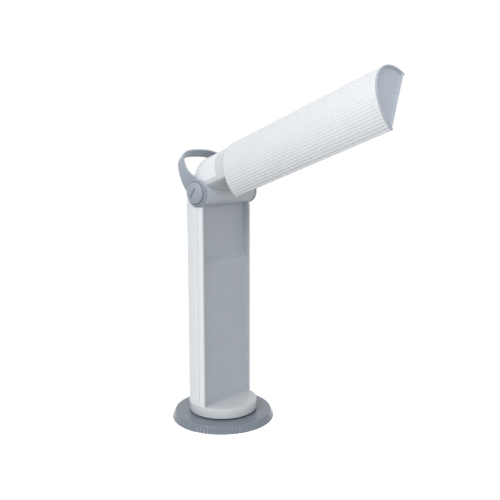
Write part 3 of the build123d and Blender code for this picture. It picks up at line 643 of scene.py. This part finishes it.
def eyeRims(look):
    # The raised ring round each pivot cap
    inner, outer, face = look["rimInner"], look["eyeRadius"], look["rimOuter"]
    start = look["eyeOuter"] - look["rimSink"]
    profile = [(inner, start), (inner, face - 0.3), (inner + 0.1, face - 0.1), (inner + 0.35, face),
               (outer - 0.45, face), (outer - 0.15, face - 0.12), (outer, face - 0.45), (outer, start),
               (inner, start)]
    return [aroundHinge(profile, 96, side) for side in (-1, 1)]


strap = handleStrap(handleLook)
rims = sewn("handle_rims", eyeRims(handleLook))
joined = bmesh.new()
joined.from_mesh(strap)
joined.from_mesh(rims)
joined.to_mesh(strap)
joined.free()
bpy.data.meshes.remove(rims)
dressed("handle_strap", cleaned(strap, 40), "handle")

capLook = dict(radius=12.7, start=43.9, rise=6.0, edgeRise=2.8, slotLength=13.0, slotWidth=2.0, slotDepth=1.6,
               slotLean=28.3, slotSoft=0.12, pillow=2.4, pillowPower=0.62)


def pivotCap(look, side):
    # A pillow over a disc that falls off towards its edge, as heights on a grid of lines across the
    # slot. The slot is a box whose sides fall off over a soft edge
    radius, soft = look["radius"], look["slotSoft"]
    halfWide, halfLong = look["slotWidth"] / 2, look["slotLength"] / 2
    edges = np.array([-3, -1, 1, 3]) * soft
    crossLines = np.concatenate([radius * np.sin(np.linspace(-math.pi / 2, -0.15, 22)), -halfWide + edges, [0.0],
                                 halfWide + edges, radius * np.sin(np.linspace(0.15, math.pi / 2, 22))])
    longLines = np.concatenate([np.linspace(-1, -halfLong / radius - 0.05, 14), (-halfLong + edges) / radius,
                                np.linspace(-halfLong / radius + 0.05, halfLong / radius - 0.05, 9),
                                (halfLong + edges) / radius, np.linspace(halfLong / radius + 0.05, 1, 14)])
    x = np.repeat(crossLines[:, None], len(longLines), 1)
    y = longLines[None, :] * np.sqrt(np.clip(radius ** 2 - x ** 2, 0, None))
    share = np.clip(np.sqrt(x ** 2 + y ** 2) / radius, 0, 1)
    pillow = (1 - share ** look["pillow"]) ** look["pillowPower"]
    height = look["edgeRise"] + (look["rise"] - look["edgeRise"]) * pillow

    def within(value, half):
        return 1 / (1 + np.exp(np.clip((np.abs(value) - half) / (soft * 0.5), -40, 40)))

    height -= look["slotDepth"] * within(x, halfWide) * within(y, halfLong)
    floor = np.zeros_like(height)
    lean = math.radians(look["slotLean"])
    # In the cap's plane, local x and y turn by the lean, and height goes outwards along the hinge
    forward, upward = x * math.cos(lean) - y * math.sin(lean), x * math.sin(lean) + y * math.cos(lean)

    def lifted(rise):
        local = np.stack([side * (look["start"] + rise), forward, upward], -1)
        return hinge + local

    top, bottom = lifted(height), lifted(floor)
    skirts = [np.stack([top[:, k], bottom[:, k]]) for k in (0, -1)]
    return [top, bottom, *skirts]


caps = [patch for side in (-1, 1) for patch in pivotCap(capLook, side)]
dressed("hinge_caps", sewn("hinge_caps", caps, sharp=35), "pivot_caps")
print("handle and caps built")


panelLook = dict(half=39.6, flange=0.8, front=-8.3, lowFloor=-4.6, highFloor=3.2, stepZ=198.0, stepSoft=1.6,
                 bottom=22.9, top=268.7, flangeTop=267.8, thick=2.0, fillet=1.5)


def frontPanel(look):
    # A U-shaped section carried up the column; the floor steps back through two soft bends
    depth = look["highFloor"] - look["lowFloor"]
    step = look["stepZ"]
    fine = np.arange(step - 8, step + depth + 8, 0.6)
    height = np.concatenate([[look["bottom"], look["bottom"] + 0.3], np.linspace(40, step - 10, 9), fine,
                             np.linspace(step + depth + 10, look["top"] - 3, 5), [look["top"] - 0.4, look["top"]]])

    def bend(value):
        return 0.5 * (value + np.sqrt(value ** 2 + look["stepSoft"] ** 2))

    floor = look["lowFloor"] + bend(height - step) - bend(height - step - depth)
    tip, radius = look["half"] - look["flange"] / 2, look["fillet"]
    inside = look["half"] - look["flange"]
    turn = np.linspace(0, math.pi / 2, 8)
    flat = np.linspace(inside - radius, 0, 7)[1:]
    frontX = np.concatenate([[tip, tip - 0.25, inside, inside], inside - radius + radius * np.cos(turn), flat])
    backX = np.concatenate([[tip, tip + 0.25, look["half"], look["half"]], np.full(8, look["half"]), flat])

    def section(y):
        top = look["front"]
        frontY = [top, top + 0.08, top + 0.3, y - radius - 0.5, *(y - radius + radius * np.sin(turn)), *[y] * 6]
        back = y + look["thick"]
        backY = [top, top + 0.08, top + 0.3, y - 1.0, *np.linspace(y, back, 8), *[back] * 6]
        return frontY, backY

    rows = [section(y) for y in floor]
    grids = []
    for xs, which in ((frontX, 0), (backX, 1)):
        y = np.array([row[which] for row in rows])
        y = np.concatenate([y, y[:, -2::-1]], 1)
        x = np.broadcast_to(np.concatenate([xs, -xs[-2::-1]]), y.shape)
        z = np.repeat(height[:, None], y.shape[1], 1)
        z[:, [*range(4), *range(-4, 0)]] = np.minimum(z[:, :4], look["flangeTop"])[:, [0, 1, 2, 3, 3, 2, 1, 0]]
        grids.append(np.stack([x, y, z], -1))
    ends = [np.stack([grids[0][k], grids[1][k]]) for k in (0, -1)]
    return sewn("column_front_panel", [*grids, *ends], sharp=50)


dressed("column_front_panel", frontPanel(panelLook), "front_panel")

# The foot is a turned profile of (radius, height) rows with a blind bore below for the brass insert
footLook = dict(columns=180, profile=((0, 19.5), (6.5, 19.5), (6.5, 11.05), (42.0, 11.05), (42.35, 11.15),
                                      (42.5, 11.5), (42.5, 22.1), (42.42, 22.5), (42.2, 22.78), (41.8, 22.9),
                                      (30, 22.9), (0, 22.9)))
footTurns = np.linspace(0, 2 * math.pi, footLook["columns"] + 1)
foot = sewn("column_foot", [carried(footLook["profile"], footTurns)])
# The foot is the shell's white plastic given a darker tone, as painted shade for the light falling off near the
# floor
dressed("column_foot", foot, "foot", finish="foot_white_in_painted_shade")

for name, node, edge in (("column_rear_shell", "rear_shell", 0.5), ("column_side_rails", "front_frame", 0.7),
                         ("hinge_barrel_and_lid", "hinge_barrel", 0.5), ("hinge_yoke", "neck_yoke", 0.4),
                         ("shade_near_plate", "near_end_plate", 0.3), ("lamp_holder", "lampholder", 0.5),
                         ("lamp_cap", "lamp_base", 0.4), ("lamp_clip", "tube_clip", 0.3),
                         ("switch_bezel", "switch_body", 0.4), ("switch_key", "switch_rocker", 0.4),
                         ("cord_bush", "cord_gland", 0.4)):
    roundedCopy(name, node, edge)
print("column built")


baseLook = dict(foot=64.0, rim=60.1, skirt=0.4, height=9.1, hub=6.05, under=6.6, wall=2.2, pitch=4.2, first=-27.0,
                count=12, facing=47.5, depth=1.05, fadeLow=6.6, fadeHigh=8.5, mark=5.5, markZ=4.6, markDepth=0.9,
                markHalf=1.25, markTaper=0.55)


def baseCover(look):
    # A turned profile whose flared rim carries a sector of round-bottomed flutes: the radius falls by a
    # raised cosine of the angle, which fades out below the rim's edge. A small pointed dimple is the mark
    flute = np.arange(look["first"] - look["pitch"], look["first"] + look["count"] * look["pitch"] + 1e-6,
                      look["pitch"] / 14)
    rest = np.linspace(flute[-1], flute[0] + 360, 220)
    angle = np.unique(np.concatenate([flute, rest]).round(6))
    slope = (look["foot"] - look["rim"]) / (look["height"] - look["skirt"])
    z = np.linspace(look["skirt"] + 0.35, look["height"] - 0.95, 26)
    flareR = look["foot"] - slope * (z - look["skirt"])
    rows = [(look["hub"], look["height"]), (20, look["height"]), (40, look["height"]), (55, look["height"]),
            (look["rim"] - 1.1, look["height"]), (look["rim"] - 0.45, look["height"] - 0.1),
            (look["rim"] + 0.05, look["height"] - 0.42)]
    rows += list(zip(flareR[::-1], z[::-1]))
    rows += [(look["foot"] - 0.12, look["skirt"] + 0.1), (look["foot"] - 0.4, look["skirt"]),
             (look["foot"] - look["wall"], look["skirt"]), (look["rim"] - look["wall"] + 1.1, look["under"]),
             (look["hub"], look["under"]), (look["hub"], look["height"])]
    radius, height = np.array(rows).T
    onFlare = (height >= look["skirt"]) & (height <= look["height"] - 0.9) & (radius > look["rim"] - 0.2)
    fade = np.clip((look["fadeHigh"] - height) / (look["fadeHigh"] - look["fadeLow"]), 0, 1) * onFlare
    fade = fade * fade * (3 - 2 * fade)
    cycle = (angle - look["first"]) / look["pitch"]
    sector = (cycle > -0.5) & (cycle < look["count"] - 0.5)
    groove = np.where(sector, (0.5 + 0.5 * np.cos(2 * math.pi * cycle)) ** 1.4, 0)
    aside = (angle - look["mark"]) * math.radians(1) * look["foot"]
    drop = (height - look["markZ"])[:, None]
    point = np.clip(look["markHalf"] - np.abs(aside)[None, :] - look["markTaper"] * np.abs(drop), 0, 0.5) * 2
    dent = look["depth"] * fade[:, None] * groove[None, :] + look["markDepth"] * onFlare[:, None] * point
    turn = np.radians(270 - look["facing"] + angle)
    r = radius[:, None] - dent
    grid = np.stack([r * np.cos(turn), r * np.sin(turn), np.broadcast_to(height[:, None], r.shape)], -1)
    grid = np.concatenate([grid, grid[:, :1]], 1) if abs(angle[-1] - angle[0] - 360) > 1e-3 else grid
    return sewn("base_turned_cover", [grid], sharp=38)


dressed("base_turned_cover", baseCover(baseLook), "base_cover")
print("base built")
